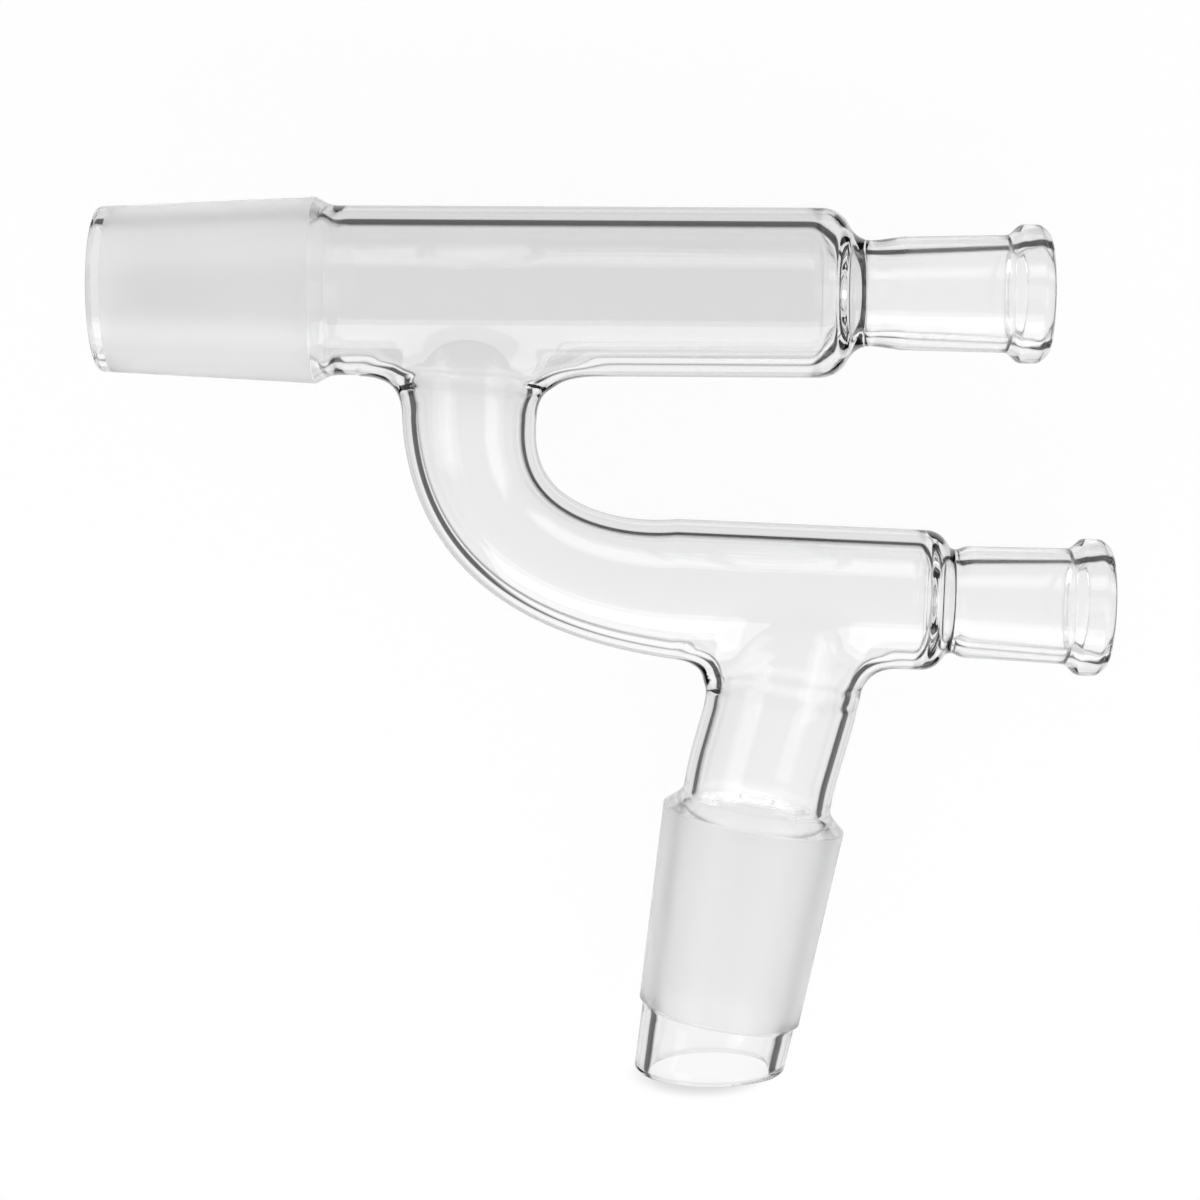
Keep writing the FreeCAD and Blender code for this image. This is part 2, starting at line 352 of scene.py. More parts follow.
def tube_points(along, out, angle, start, heading):
    """Points start + along a + out (cos t d + sin t z): a is the heading, d the one 90 below it."""
    across = np.cos(angle)[..., None] * direction(heading - 90)
    across = across + np.sin(angle)[..., None] * np.array([0.0, 0.0, 1.0])
    return start + along[..., None] * direction(heading) + out[..., None] * across


def ring_points(centre, tangent, out, angle):
    """Points centre + out (cos t e + sin t z), with e the tangent turned by +90 in the plane."""
    side = np.stack([-tangent[:, 1], tangent[:, 0], 0 * tangent[:, 0]], axis=1)
    across = np.cos(angle)[None, :, None] * side[:, None]
    across = across + np.sin(angle)[None, :, None] * np.array([0.0, 0.0, 1.0])
    return centre[:, None] + out[:, None, None] * across


def circle(columns):
    """The angles 2 pi k / n of a ring's n points."""
    return 2 * math.pi * np.arange(columns) / columns


def turned_rings(profile, columns, start, heading):
    """A wall's section (along, out) turned about its tube's axis, one ring for each point."""
    along = profile[:, 0, None]
    out = profile[:, 1, None]
    turn = circle(columns)
    return tube_points(along + 0 * turn, out + 0 * turn, turn + 0 * along, start, heading)


# The skin as it grows: its points in millimetres, their share of frost, its quads, and how many
# points it has.
skin = {"points": [], "ground": [], "faces": [], "count": 0}


def add_grid(rings, ground, wrap, keep=None):
    """Adds a grid of rings, each closed on itself, as quads between neighbouring rings.

    ground is each ring's share of frost, wrap joins the last ring to the first, and keep says
    which quads stay.
    """
    rows, columns = rings.shape[:2]
    index = np.arange(rows * columns).reshape(rows, columns) + skin["count"]
    nearer = index if wrap else index[:-1]
    farther = np.roll(index, -1, axis=0) if wrap else index[1:]
    quads = np.stack(
        [nearer, np.roll(nearer, -1, axis=1), np.roll(farther, -1, axis=1), farther], axis=2
    )
    quads = quads[keep] if keep is not None else quads.reshape(-1, 4)
    skin["points"].append(rings.reshape(-1, 3))
    skin["ground"].append(np.repeat(ground, columns))
    skin["faces"].append(quads)
    skin["count"] += rows * columns


def hole_keep(profile, radii, low, high, columns, hole_columns, wrap):
    """Which quads of a turned wall stay: all but those of its branch hole, on each of its skins.

    A quad is in the hole when its row's middle has a skin's radius and lies between low and high,
    and its column is among the hole's columns, which are counted from the one at angle 0.
    """
    rows = len(profile)
    ahead = np.roll(profile, -1, axis=0)
    middle = ((profile + ahead) / 2)[: rows if wrap else rows - 1]
    on_skin = np.min(np.abs(middle[:, 1, None] - np.array(radii)), axis=1) < TINY
    in_rows = on_skin & (middle[:, 0] > low) & (middle[:, 0] < high)
    turn = (np.arange(columns) + columns // 2) % columns - columns // 2
    in_columns = (turn >= -hole_columns // 2) & (turn < hole_columns // 2)
    return ~(in_rows[:, None] & in_columns[None])


def hole_edge(low, high, rows, columns, step):
    """(along, angle) round a hole's edge, from the far side's middle and turning toward +Z."""
    half = columns // 2
    up = np.arange(half) * step
    back = np.linspace(high, low, rows, endpoint=False)
    ahead = np.linspace(low, high, rows, endpoint=False)
    down = np.linspace(half, -half, columns, endpoint=False) * step
    top = half * step
    along = [0 * up + high, back, 0 * down + low, ahead, 0 * up + high]
    angle = [up, 0 * back + top, down, 0 * ahead - top, up - top]
    return np.concatenate(along), np.concatenate(angle)


def weld(point, tube, branch, width, stretch):
    """Signed distance to a tee of two tubes whose corner is filled, and its direction.

    With a the distance to the tube, b that to the branch over its stretch, and
    h = clamp(1/2 + (b - a) / 2k, 0, 1), it is b (1 - h) + a h - k h (1 - h). The fill's width k
    falls with the angle between the skins.
    """
    start, heading, radius = tube
    from_start = point - start
    axis = direction(heading)
    across = from_start - (from_start @ axis)[..., None] * axis
    reach = np.linalg.norm(across, axis=-1)
    first_normal = across / reach[..., None]
    first = reach - radius
    branch_start, branch_heading, law = branch
    from_start = point - branch_start
    axis = direction(branch_heading)
    along = from_start @ axis
    across = from_start - along[..., None] * axis
    reach = np.linalg.norm(across, axis=-1)
    second_normal = across / reach[..., None]
    second = (reach - law(along)) / stretch
    meeting = 1 - np.sum(first_normal * second_normal, axis=-1)
    second_normal = second_normal / stretch[..., None]
    k = np.maximum(WELD_WIDTH * width * meeting, TINY)
    h = np.clip(0.5 + (second - first) / (2 * k), 0, 1)
    distance = second * (1 - h) + first * h - k * h * (1 - h)
    return distance, first_normal * h[..., None] + second_normal * (1 - h[..., None])


def add_tee(tube, branch, radii, edge, end, seam, swell):
    """Adds the skin from a hole's edge in a tube to a branch's ring at a distance from its start.

    Each column runs over the tube to where its branch line comes out, found by halving, then
    along that line, at equal steps, and is moved onto the filled tee by the slope's rule
    p - F g / |g|^2. The fill's radius goes round the branch as
    (near + far) / 2 + (far - near) / 2 cos t, and its stretch as 1 + (stretch - 1) cos^2 t on the
    far half. The seam then swells it by e^(-u^2), with u the distance from the seam's wavy plane
    in half-widths.
    """
    start, heading, radius = tube
    branch_start, branch_heading, law = branch
    along, angle = edge
    turn = circle(len(along))
    low = 0 * turn
    high = 0 * turn + end
    for _ in range(WELD_HALVINGS):
        middle = (low + high) / 2
        point = tube_points(middle, law(middle), math.pi - turn, branch_start, branch_heading)
        from_start = point - start
        reach = np.hypot(from_start @ direction(heading - 90), from_start[:, 2])
        inside = reach < radius
        low = np.where(inside, middle, low)
        high = np.where(inside, high, middle)
    near, far, far_stretch = radii
    width = (near + far) / 2 + (far - near) / 2 * np.cos(turn)
    stretch = 1 + (far_stretch - 1) * np.clip(np.cos(turn), 0, 1) ** 2
    cross_along = from_start @ direction(heading)
    cross_angle = np.arctan2(from_start[:, 2], from_start @ direction(heading - 90))
    over = np.hypot(cross_along - along, radius * (cross_angle - angle))
    total = over + end - middle
    walked = np.linspace(0, 1, PATCH_ROWS + 1)[:, None] * total
    share = np.clip(walked / over, 0, 1)
    on_tube = tube_points(
        along + (cross_along - along) * share,
        0 * share + radius,
        angle + (cross_angle - angle) * share,
        start,
        heading,
    )
    out = np.maximum(middle + walked - over, middle)
    on_branch = tube_points(out, law(out), math.pi - turn + 0 * out, branch_start, branch_heading)
    point = np.where((walked < over)[..., None], on_tube, on_branch)
    first_row = point[0].copy()
    last_row = point[-1].copy()
    for _ in range(WELD_PASSES):
        distance, slope = weld(point, tube, branch, width, stretch)
        point = point - (distance / np.sum(slope * slope, axis=-1))[..., None] * slope
    seam_at, seam_heading = seam
    wave = SEAM_WAVE * sum(
        share * np.sin(count * turn + first) for count, first, share in SEAM_WAVES
    )
    off = ((point - branch_start) @ direction(seam_heading) - seam_at - wave) / SEAM_WIDTH
    normal = slope / np.linalg.norm(slope, axis=-1)[..., None]
    point = point + (swell * np.exp(-off * off))[..., None] * normal
    point[0] = first_row
    point[-1] = last_row
    add_grid(point, np.zeros(len(point)), wrap=False)


def cone_r(along):
    """Outer radius of a ground cone: that of its large end less the taper times the distance."""
    return CONE_LARGE_R - CONE_TAPER * along


def socket_corners(shoulder, slant, neck):
    """Section corners of a shoulder, neck and socket, outside to the mouth and back inside."""
    root = shoulder + slant + neck
    mouth = root + SOCKET_GROUND
    bead = mouth - BEAD_WIDTH
    flare = mouth - FLARE_LENGTH
    flare_bore = SOCKET_MOUTH_R - CONE_TAPER * FLARE_LENGTH
    return [
        (shoulder + slant, NECK_R, NECK_ROUND, 4),
        (root, SOCKET_ROOT_R, NECK_ROUND, SOCKET_ROWS),
        (bead - BEAD_SLOPE / 2, SOCKET_BODY_R, BEAD_ROUND, 1),
        (bead + BEAD_SLOPE / 2, BEAD_R, BEAD_ROUND, 3),
        (mouth - BEAD_FALL, BEAD_R, LIP_ROUND, 1),
        (mouth, LIP_R, LIP_ROUND, 1),
        (mouth, FLARE_R, LIP_ROUND, 2),
        (flare, flare_bore, FLARE_LENGTH, FLARE_ROWS),
        (root, SOCKET_BORE_R, 0, 6),
        (shoulder + slant - SHOULDER_WALL, SOCKET_BORE_R, NECK_ROUND, 2),
    ]


def socket_frost(profile, root):
    """The fine frost of a socket's bore, on its taper from the root to the flare of its mouth."""
    along, out = profile.T
    on_taper = np.abs(out - SOCKET_BORE_R - CONE_TAPER * (along - root)) < ON_LINE
    first = root + SOCKET_CLEAR
    last = root + SOCKET_GROUND - FLARE_LENGTH - SOCKET_CLEAR
    return SOCKET_FROST * (on_taper & (along > first) & (along < last))


def add_run():
    """The run as one closed section turned about its axis, with a hole for the bent tube."""
    rim = CONE_GROUND + RIM_LENGTH
    bore = RUN_R - RUN_WALL
    low = BEND_AT - RUN_HOLE_BACK
    high = BEND_AT + RUN_HOLE_AHEAD
    corners = [
        (-rim, cone_r(rim), MELTED_EDGE, 3),
        (-CONE_GROUND - GRIND_FADE, cone_r(CONE_GROUND + GRIND_FADE), 0, 1),
        (-CONE_GROUND, cone_r(CONE_GROUND), 0, CONE_ROWS),
        (-GRIND_START, cone_r(GRIND_START), 0, 1),
        (0, cone_r(0), CONE_EDGE, 2),
        (CONE_SHOULDER, RUN_R, CONE_ROUND, 3),
        (low, RUN_R, 0, RUN_HOLE_ROWS),
        (high, RUN_R, 0, RUN_ROWS),
        (RUN_LENGTH, RUN_R, SHOULDER_ROUND, 2),
    ]
    corners += socket_corners(RUN_LENGTH, RUN_SLANT, RUN_NECK)
    corners += [
        (RUN_LENGTH - SHOULDER_WALL, bore, SHOULDER_ROUND, RUN_ROWS),
        (high, bore, 0, RUN_HOLE_ROWS),
        (low, bore, 0, 2),
        (2 * CONE_SHOULDER, bore, CONE_ROUND, 3),
        (0, cone_r(0) - CONE_WALL, CONE_ROUND, CONE_BORE_ROWS),
        (-rim, cone_r(rim) - CONE_WALL, MELTED_EDGE, 1),
    ]
    profile = section(corners, closed=True)
    along, out = profile.T
    outside = np.abs(out - cone_r(-along)) < ON_LINE
    ground = outside & (along > -CONE_GROUND - ON_LINE) & (along < ON_LINE - GRIND_START)
    ground = ground + socket_frost(profile, RUN_LENGTH + RUN_SLANT + RUN_NECK)
    rings = turned_rings(profile, RUN_COLUMNS, RUN_START, RUN_HEADING)
    keep = hole_keep(profile, (RUN_R, bore), low, high, RUN_COLUMNS, RUN_HOLE_COLUMNS, True)
    add_grid(rings, ground, wrap=True, keep=keep)


def add_bend():
    """The bend's two skins: rings square to a cubic curve, radius by a parabola on each side."""
    t = np.linspace(0, 1, BEND_ROWS + 1)
    s = 1 - t
    first = RUN_START + direction(RUN_HEADING) * BEND_AT + direction(BEND_HEADING) * BEND_ROOT
    first_pull = first + direction(BEND_HEADING) * BEND_FIRST_PULL
    last_pull = PARALLEL_START - direction(PARALLEL_HEADING) * BEND_LAST_PULL
    weights = np.stack([s ** 3, 3 * s * s * t, 3 * s * t * t, t ** 3], axis=1)
    centre = weights @ np.array([first, first_pull, last_pull, PARALLEL_START])
    weights = np.stack([s * s, 2 * s * t, t * t], axis=1)
    tangent = weights @ np.array(
        [first_pull - first, last_pull - first_pull, PARALLEL_START - last_pull]
    )
    tangent = tangent / np.linalg.norm(tangent, axis=1)[:, None]
    before = np.clip(1 - t / BEND_WAIST_AT, 0, 1)
    after = np.clip((t - BEND_WAIST_AT) / (1 - BEND_WAIST_AT), 0, 1)
    out = BEND_WAIST_R + (BEND_ROOT_R - BEND_WAIST_R) * before ** 2
    out = out + (PARALLEL_R - BEND_WAIST_R) * after ** 2
    wall = BEND_WALL * s + PARALLEL_WALL * t
    turn = circle(PARALLEL_COLUMNS)
    for radius in (out, out - wall):
        add_grid(ring_points(centre, tangent, radius, turn), np.zeros(len(t)), wrap=False)


def add_parallel():
    """The parallel tube and socket as an open section turned about their axis, with its hole."""
    bore = PARALLEL_R - PARALLEL_WALL
    low = ARM_AT - PARALLEL_HOLE_BACK
    high = ARM_AT + PARALLEL_HOLE_AHEAD
    corners = [
        (0, PARALLEL_R, 0, 2),
        (low, PARALLEL_R, 0, PARALLEL_HOLE_ROWS),
        (high, PARALLEL_R, 0, 3),
        (PARALLEL_LENGTH, PARALLEL_R, SHOULDER_ROUND, 2),
    ]
    corners += socket_corners(PARALLEL_LENGTH, PARALLEL_SLANT, PARALLEL_NECK)
    corners += [
        (PARALLEL_LENGTH - SHOULDER_WALL, bore, SHOULDER_ROUND, 2),
        (high, bore, 0, PARALLEL_HOLE_ROWS),
        (low, bore, 0, 2),
        (0, bore, 0, 1),
    ]
    profile = section(corners, closed=False)
    rings = turned_rings(profile, PARALLEL_COLUMNS, PARALLEL_START, PARALLEL_HEADING)
    keep = hole_keep(
        profile, (PARALLEL_R, bore), low, high, PARALLEL_COLUMNS, PARALLEL_HOLE_COLUMNS, False
    )
    ground = socket_frost(profile, PARALLEL_LENGTH + PARALLEL_SLANT + PARALLEL_NECK)
    add_grid(rings, ground, wrap=False, keep=keep)


def arm_r(along):
    """Outer radius of the side arm: a straight flare from its root, rounded into the tube.

    With u = along - flare and e the rounding's reach, a corner of slope m is replaced between
    -e and e by the parabola m (u - e)^2 / 4e below the tube's radius.
    """
    slope = (ARM_R - ARM_ROOT_R) / ARM_FLARE
    reach = ARM_FLARE_ROUND * math.tan(math.atan(slope) / 2)
    u = along - ARM_FLARE
    straight = ARM_R + slope * u
    curved = ARM_R - slope * (u - reach) ** 2 / (4 * reach)
    return np.where(u < -reach, straight, np.where(u > reach, ARM_R, curved))


def arm_bore(along):
    """Inner radius of the side arm: the outer one less its wall."""
    return arm_r(along) - ARM_WALL


def arm_pivot():
    """The point about which the side arm turns back, square to its line where the turn starts."""
    start = PARALLEL_START + direction(PARALLEL_HEADING) * ARM_AT
    turn_start = start + direction(ARM_HEADING) * ARM_LENGTH
    return turn_start + direction(ARM_HEADING + 90) * ARM_TURN_R


def add_arm():
    """The side arm below its tee: tube, slight turn, ground cone and plain tip, both skins.

    Its rings stand square to a straight, an arc about the pivot and a second straight. The
    slanted end moves the tip's points back by cut (1 + cos t) / 2, from 0 at its start.
    """
    turn_length = math.radians(ARM_TURN) * ARM_TURN_R
    cone = ARM_LENGTH + turn_length
    collar = cone + ARM_COLLAR
    large = collar + CONE_SHOULDER
    small = large + CONE_GROUND
    end = small + TIP_LENGTH
    corners = [
        (ARM_RING, ARM_R, 0, 5),
        (ARM_LENGTH, ARM_R, 0, 6),
        (cone, ARM_R, 0, 1),
        (collar, ARM_R, CONE_ROUND, 1),
        (large, cone_r(0), CONE_EDGE, 1),
        (large + GRIND_START, cone_r(GRIND_START), 0, CONE_ROWS),
        (small - GRIND_FADE, cone_r(CONE_GROUND - GRIND_FADE), 0, 1),
        (small, cone_r(CONE_GROUND), 0, 1),
        (small + TIP_STEP, TIP_START_R, TIP_STEP, 8),
        (end, TIP_END_R, MELTED_EDGE, 1),
        (end, TIP_END_R - TIP_WALL, MELTED_EDGE, 6),
        (small + CONE_SHOULDER, TIP_START_R - TIP_WALL, CONE_ROUND, 1),
        (small, cone_r(CONE_GROUND) - CONE_WALL, 0, CONE_BORE_ROWS),
        (large + ARM_STEP, cone_r(0) - CONE_WALL, ARM_STEP_ROUND, 2),
        (collar, ARM_R - ARM_WALL, ARM_STEP_ROUND, 1),
        (cone, ARM_R - ARM_WALL, 0, 6),
        (ARM_LENGTH, ARM_R - ARM_WALL, 0, 5),
        (ARM_RING, ARM_R - ARM_WALL, 0, 1),
    ]
    profile = section(corners, closed=False)
    along, out = profile.T
    outside = np.abs(out - cone_r(along - large)) < ON_LINE
    first = large + GRIND_START - ON_LINE
    last = small - GRIND_FADE + ON_LINE
    ground = outside & (along > first) & (along < last)
    turned = np.clip((along - ARM_LENGTH) / turn_length, 0, 1)
    heading = np.radians(ARM_HEADING + ARM_TURN * turned)
    tangent = np.stack([np.cos(heading), np.sin(heading), 0 * heading], axis=1)
    side = np.stack([-np.sin(heading), np.cos(heading), 0 * heading], axis=1)
    centre = arm_pivot() - side * ARM_TURN_R
    before = np.minimum(along - ARM_LENGTH, 0)[:, None]
    after = np.maximum(along - cone, 0)[:, None]
    centre = centre + tangent * (before + after)
    turn = circle(ARM_COLUMNS)
    rings = ring_points(centre, tangent, out, turn)
    down_tip = np.clip((along - small - TIP_STEP) / (TIP_LENGTH - TIP_STEP), 0, 1)
    cut = TIP_CUT * down_tip[:, None] * (1 + np.cos(turn)) / 2
    rings = rings - cut[..., None] * tangent[:, None]
    add_grid(rings, ground.astype(float), wrap=False)


def add_welds():
    """The skins of the two tees, outside and in the bore."""
    edge = hole_edge(
        BEND_AT - RUN_HOLE_BACK,
        BEND_AT + RUN_HOLE_AHEAD,
        RUN_HOLE_ROWS,
        RUN_HOLE_COLUMNS,
        2 * math.pi / RUN_COLUMNS,
    )
    start = RUN_START + direction(RUN_HEADING) * BEND_AT
    for wall, bend_wall, radii, swell in (
        (0, 0, RUN_WELD, SEAM_SWELL),
        (RUN_WALL, BEND_WALL, RUN_INNER_WELD, SEAM_INNER_SWELL),
    ):
        tube = (RUN_START, RUN_HEADING, RUN_R - wall)
        root = BEND_ROOT_R - bend_wall
        branch = (start, BEND_HEADING, lambda t: 0 * t + root)
        add_tee(tube, branch, radii, edge, BEND_ROOT, RUN_SEAM, swell)
    edge = hole_edge(
        ARM_AT - PARALLEL_HOLE_BACK,
        ARM_AT + PARALLEL_HOLE_AHEAD,
        PARALLEL_HOLE_ROWS,
        PARALLEL_HOLE_COLUMNS,
        2 * math.pi / PARALLEL_COLUMNS,
    )
    start = PARALLEL_START + direction(PARALLEL_HEADING) * ARM_AT
    for wall, law, radii, swell in (
        (0, arm_r, ARM_WELD, SEAM_SWELL),
        (PARALLEL_WALL, arm_bore, ARM_INNER_WELD, SEAM_INNER_SWELL),
    ):
        tube = (PARALLEL_START, PARALLEL_HEADING, PARALLEL_R - wall)
        add_tee(tube, (start, ARM_HEADING, law), radii, edge, ARM_RING, ARM_SEAM, swell)


def resting_turn():
    """The turn from the drawing plane to how the part lies, on both cones and the run's bead.

    It is the least turn that takes Z to the normal of the plane through those three contacts.
    """
    cone_heading = ARM_HEADING + ARM_TURN
    cone_start = arm_pivot() - direction(cone_heading + 90) * ARM_TURN_R
    arm_large = cone_start + direction(cone_heading) * (ARM_COLLAR + CONE_SHOULDER)
    bead = RUN_LENGTH + RUN_SLANT + RUN_NECK + SOCKET_GROUND - BEAD_WIDTH / 2
    contacts = [
        np.array([0, 0, CONE_LARGE_R]),
        arm_large + np.array([0, 0, CONE_LARGE_R]),
        np.array([bead, 0, BEAD_R]),
    ]
    normal = np.cross(contacts[1] - contacts[0], contacts[2] - contacts[0])
    return np.array(Vector((0, 0, 1)).rotation_difference(Vector(normal)).to_matrix())


def smooth(value, low, high):
    """0 below low and 1 above high, joined by 3 s^2 - 2 s^3 with s the share of the way."""
    s = np.clip((value - low) / (high - low), 0, 1)
    return s * s * (3 - 2 * s)


def painted_shade_on(points):
    """Painted shade's share: 1 on the run, less on its cone, 0 on its socket and down the bend.

    Along the cone's middle line it rises toward the rim, and falls off to each side by e^(-u^2),
    with u the distance from that line in its widths.
    """
    along, across = points[:, :2].T
    middle = np.exp(-(((across - MIDDLE_LINE) / MIDDLE_WIDTH) ** 2))
    cone = CONE_SHADE + (MIDDLE_SHADE + CONE_RIM_SHADE * smooth(-along, *CONE_TO_RIM)) * middle
    share = cone + (1 - cone) * smooth(along, *CONE_TO_RUN)
    return share * smooth(across, *BEND_TO_RUN) * (1 - smooth(along, *RUN_TO_SOCKET))


def keep_shares(mesh, name, shares):
    """Keeps a share for each point of a mesh, under a name that the glass reads."""
    attribute = mesh.attributes.new(name, "FLOAT", "POINT")
    attribute.data.foreach_set("value", shares.astype(np.float32))


def glass_mesh():
    """The skin as one closed mesh in the row frame, and the turn and shift that put it there.

    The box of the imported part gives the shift: its middle along the run, its far side away from
    the slanted tip, and the ground below.
    """
    add_run()
    add_bend()
    add_parallel()
    add_arm()
    add_welds()
    turn = resting_turn()
    drawn = np.concatenate(skin["points"])
    points = drawn @ turn.T * MM
    low, high = points.min(0), points.max(0)
    box_low, box_high = map(np.array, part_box("claisen_adapter"))
    shift = (box_low + box_high) / 2 - (low + high) / 2
    shift[1] = box_high[1] - high[1]
    shift[2] = box_low[2] - low[2]
    mesh = bpy.data.meshes.new("claisen_glass")
    mesh.from_pydata((points + shift).tolist(), [], np.concatenate(skin["faces"]).tolist())
    keep_shares(mesh, "ground", np.concatenate(skin["ground"]))
    # The share of painted shade: the glass's shadow on the ground, shown through the run and its
    # cone.
    keep_shares(mesh, "shade_share", painted_shade_on(drawn))
    shape = bmesh.new()
    shape.from_mesh(mesh)
    bmesh.ops.remove_doubles(shape, verts=shape.verts, dist=MERGE_GAP)
    loose = [vertex for vertex in shape.verts if not vertex.link_faces]
    bmesh.ops.delete(shape, geom=loose, context="VERTS")
    bmesh.ops.recalc_face_normals(shape, faces=shape.faces)
    shape.to_mesh(mesh)
    shape.free()
    mesh.shade_smooth()
    return mesh, turn, shift


def feed(tree, socket, value):
    """Links another node's output to a socket, or sets the socket to a plain value."""
    if isinstance(value, bpy.types.NodeSocket):
        tree.links.new(value, socket)
    else:
        socket.default_value = value


def node(tree, kind, **inputs):
    """A new shader node with its inputs fed, each under its name with _ for a space."""
    made = tree.nodes.new(kind)
    for name, value in inputs.items():
        feed(tree, made.inputs[name.replace("_", " ")], value)
    return made


def blank_nodes(holder):
    """The node tree of a material or world, with nothing in it yet."""
    holder.use_nodes = True
    holder.node_tree.nodes.clear()
    return holder.node_tree


def ramp_node(tree, value, stops):
    """A smooth ramp through (place, level) stops, for a value from 0 to 1."""
    made = node(tree, "ShaderNodeValToRGB", Fac=value)
    made.color_ramp.interpolation = "EASE"
    points = made.color_ramp.elements
    while len(points) < len(stops):
        points.new(0.5)
    for point, (place, level) in zip(points, stops):
        point.position = place
        point.color = (level, level, level, 1)
    return made.outputs["Color"]


def math_node(tree, operation, *values):
    """One step of arithmetic on values or outputs."""
    made = tree.nodes.new("ShaderNodeMath")
    made.operation = operation
    for socket, value in zip(made.inputs, values):
        feed(tree, socket, value)
    return made.outputs["Value"]


def vector_node(tree, operation, *values):
    """One step of arithmetic on vectors."""
    made = tree.nodes.new("ShaderNodeVectorMath")
    made.operation = operation
    for socket, value in zip(made.inputs, values):
        feed(tree, socket, value)
    return made.outputs["Value" if operation == "LENGTH" else "Vector"]


def mix_colours(tree, share, first, second):
    """The colour first (1 - share) + second share."""
    made = tree.nodes.new("ShaderNodeMix")
    made.data_type = "RGBA"
    for name, value in (("Factor", share), ("A", first), ("B", second)):
        feed(tree, made.inputs[name], value)
    return made.outputs["Result"]


def mix_shaders(tree, share, first, second):
    """The shader first (1 - share) + second share."""
    made = node(tree, "ShaderNodeMixShader", Fac=share)
    tree.links.new(first.outputs[0], made.inputs[1])
    tree.links.new(second.outputs[0], made.inputs[2])
    return made


def share_node(tree, name):
    """The share that the mesh keeps for each point, under a name."""
    made = tree.nodes.new("ShaderNodeAttribute")
    made.attribute_name = name
    return made.outputs["Fac"]


def glass_material():
    """Clear glass, frosted where the mesh is ground, that lets most of a lamp's light through.

    Its tint deepens with the painted shade on the run and its cone, and again toward a rim,
    where light goes a longer way.
    """
    material = bpy.data.materials.new("clear_glass")
    tree = blank_nodes(material)
    frost = share_node(tree, "ground")
    place = tree.nodes.new("ShaderNodeTexCoord")
    grain = node(tree, "ShaderNodeTexNoise", Vector=place.outputs["Object"], Scale=GRAIN_SCALE)
    height = math_node(tree, "MULTIPLY", grain.outputs[0], frost)
    bump = node(
        tree, "ShaderNodeBump", Height=height, Strength=GRAIN_STRENGTH, Distance=GRAIN_DEPTH
    )
    rough = node(tree, "ShaderNodeMapRange", Value=frost, To_Max=FROST_ROUGH)
    # Painted shade: the run and its cone take the darker tint where the ground's shadow shows
    # through.
    tint = mix_colours(tree, share_node(tree, "shade_share"), GLASS_TINT, SHADED_TINT)
    slant = tree.nodes.new("ShaderNodeLayerWeight")
    at_rim = node(
        tree,
        "ShaderNodeMapRange",
        Value=slant.outputs["Facing"],
        From_Min=RIM_START,
        From_Max=RIM_FULL,
    )
    clear_part = math_node(tree, "SUBTRACT", 1.0, math_node(tree, "MULTIPLY", frost, FROST_RIM))
    rim_share = math_node(tree, "MULTIPLY", at_rim.outputs["Result"], clear_part)
    glass = node(
        tree,
        "ShaderNodeBsdfPrincipled",
        Base_Color=mix_colours(tree, rim_share, tint, RIM_TINT),
        Transmission_Weight=1.0,
        IOR=GLASS_IOR,
        Roughness=rough.outputs["Result"],
        Normal=bump.outputs["Normal"],
    )
    haze = node(tree, "ShaderNodeBsdfTranslucent", Color=HAZE_COLOUR)
    hazed = mix_shaders(tree, math_node(tree, "MULTIPLY", frost, FROST_HAZE), glass, haze)
    path = tree.nodes.new("ShaderNodeLightPath")
    clear = node(tree, "ShaderNodeBsdfTransparent", Color=SHADOW_TINT)
    lit = mix_shaders(tree, path.outputs["Is Shadow Ray"], hazed, clear)
    node(tree, "ShaderNodeOutputMaterial", Surface=lit.outputs[0])
    return material


def floor_material():
    """White ground with faint shadows.

    Rays that have gone through glass pass it too and meet the backdrop below, as on a clear table.
    The painted shadow under the tip is an ellipse of dimmer glow whose level rises smoothly from
    its core to its edge.
    """
    material = bpy.data.materials.new("white_ground")
    tree = blank_nodes(material)
    place = tree.nodes.new("ShaderNodeTexCoord")
    # Painted shadow: the glow is dimmed in an ellipse under the arm's tip.
    from_tip = vector_node(tree, "SUBTRACT", place.outputs["Object"], TIP_SHADOW_PLACE)
    reach = vector_node(tree, "LENGTH", vector_node(tree, "DIVIDE", from_tip, TIP_SHADOW_SIZE))
    level = node(
        tree,
        "ShaderNodeMapRange",
        Value=reach,
        From_Min=TIP_SHADOW_CORE,
        To_Min=TIP_SHADOW_LEVEL,
    )
    level.interpolation_type = "SMOOTHSTEP"
    glow = node(tree, "ShaderNodeEmission", Color=WHITE, Strength=level.outputs["Result"])
    matt = node(tree, "ShaderNodeBsdfDiffuse", Color=SHEET_MATT)
    ground = mix_shaders(tree, SHEET_SHARE, glow, matt)
    path = tree.nodes.new("ShaderNodeLightPath")
    through = tree.nodes.new("ShaderNodeBsdfTransparent")
    seen = mix_shaders(tree, path.outputs["Is Camera Ray"], through, ground)
    node(tree, "ShaderNodeOutputMaterial", Surface=seen.outputs[0])
    return material


def add_floor():
    """A white square sheet just under the glass."""
    half = SHEET_HALF
    corners = [(-half, -half, 0), (half, -half, 0), (half, half, 0), (-half, half, 0)]
    mesh = bpy.data.meshes.new("ground_sheet")
    mesh.from_pydata(corners, [], [(0, 1, 2, 3)])
    sheet = bpy.data.objects.new("ground_sheet", mesh)
    sheet.location = (0, 0, cad_low.z - SHEET_GAP)
    bpy.context.scene.collection.objects.link(sheet)
    mesh.materials.append(floor_material())


def level_by(tree, part, stops):
    """A level that follows one part p of a ray's direction through its stops, as (p + 1) / 2."""
    half = math_node(tree, "MULTIPLY_ADD", part, 0.5, 0.5)
    return ramp_node(tree, half, [((at + 1) / 2, level) for at, level in stops])


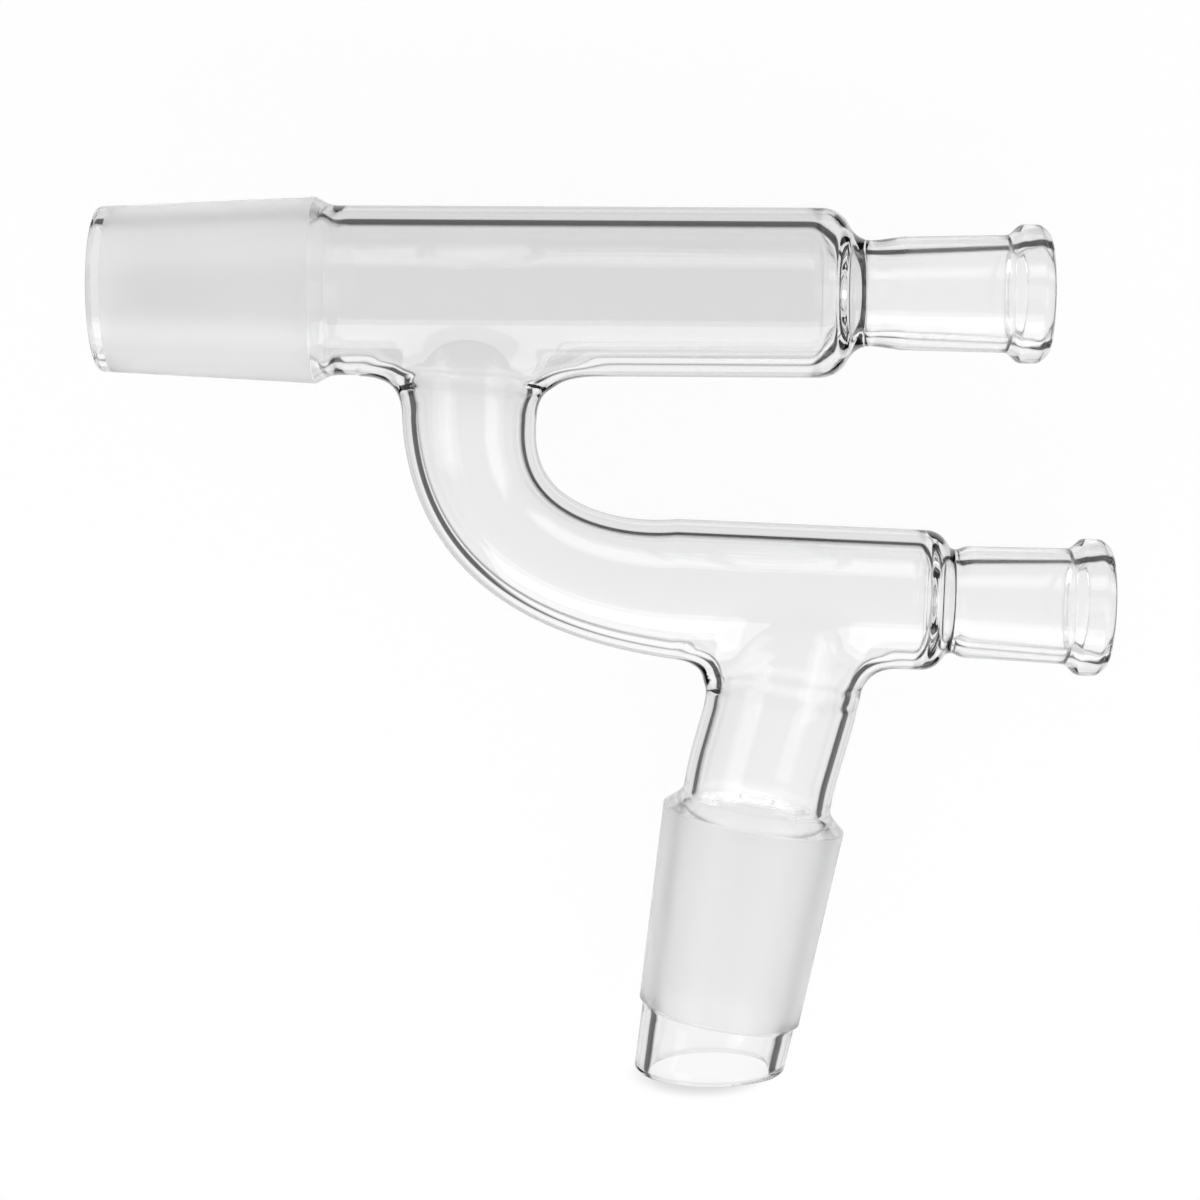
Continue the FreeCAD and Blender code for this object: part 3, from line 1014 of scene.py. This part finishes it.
def add_world():
    """White to the camera. Other rays see a backdrop, a dark ring open to the front, and a room."""
    world = bpy.data.worlds.new("studio")
    bpy.context.scene.world = world
    tree = blank_nodes(world)
    path = tree.nodes.new("ShaderNodeLightPath")
    place = tree.nodes.new("ShaderNodeTexCoord")
    split = node(tree, "ShaderNodeSeparateXYZ", Vector=place.outputs["Generated"])
    below = level_by(tree, split.outputs["Y"], BACKDROP_LIGHT)
    above = level_by(tree, split.outputs["Z"], ROOM_LIGHT)
    is_above = math_node(tree, "GREATER_THAN", split.outputs["Z"], BACKDROP_TOP)
    level = node(tree, "ShaderNodeMix", Factor=is_above, A=below, B=above)
    ring = level_by(tree, split.outputs["Z"], RING_SHARE)
    front = level_by(tree, split.outputs["Y"], FRONT_SHARE)
    dark = math_node(tree, "MULTIPLY", ring, math_node(tree, "SUBTRACT", 1.0, front))
    ringed = node(tree, "ShaderNodeMix", Factor=dark, A=level.outputs["Result"], B=RING_LIGHT)
    room = node(tree, "ShaderNodeBackground", Color=WHITE, Strength=ringed.outputs["Result"])
    page = node(tree, "ShaderNodeBackground", Color=WHITE, Strength=1.0)
    mixed = mix_shaders(tree, path.outputs["Is Camera Ray"], room, page)
    node(tree, "ShaderNodeOutputWorld", Surface=mixed.outputs[0])


def add_lamp(name, place, size, power):
    """A soft oblong lamp that looks at the middle of the glass."""
    data = bpy.data.lights.new(name, "AREA")
    data.shape = "RECTANGLE"
    data.size, data.size_y = size
    data.energy = power
    lamp = bpy.data.objects.new(name, data)
    lamp.location = place
    aim = Vector(LAMP_AIM) - Vector(place)
    lamp.rotation_euler = aim.to_track_quat("-Z", "Y").to_euler()
    bpy.context.scene.collection.objects.link(lamp)


def add_camera(turn, shift):
    """The camera that took the photograph, moved to the row frame with the glass.

    It looks along (-sin y, -sin p cos y, -cos p cos y), with p its pitch and y its yaw.
    """
    pitch = math.radians(CAMERA_PITCH)
    yaw = math.radians(CAMERA_YAW)
    forward = np.array(
        [-math.sin(yaw), -math.sin(pitch) * math.cos(yaw), -math.cos(pitch) * math.cos(yaw)]
    )
    right = np.cross(forward, [0, 1, 0])
    right = right / np.linalg.norm(right)
    up = np.cross(right, forward)
    axes = np.stack([right, up, -forward], axis=1)
    page = np.array(Matrix.Rotation(math.radians(PAGE_TURN), 3, "Z"))
    axes = turn @ page @ axes
    data = bpy.data.cameras.new("camera")
    data.lens = LENS_MM
    data.sensor_width = SENSOR_MM
    data.clip_start = CLIP_START
    camera = bpy.data.objects.new("camera", data)
    place = turn @ CAMERA_PLACE * MM + shift
    matrix = Matrix(axes.tolist()).to_4x4()
    matrix.translation = Vector(place)
    camera.matrix_world = matrix
    bpy.context.scene.collection.objects.link(camera)
    bpy.context.scene.camera = camera


mesh, turn, shift = glass_mesh()
mesh.materials.append(glass_material())
glass = bpy.data.objects.new("claisen_glass", mesh)
bpy.context.scene.collection.objects.link(glass)
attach(glass, "root")
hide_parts("claisen_adapter")

add_floor()
add_world()
for name, place, size, power in LAMPS:
    add_lamp(name, place, size, power)
add_camera(turn, shift)
bpy.context.scene.view_settings.view_transform = "Standard"
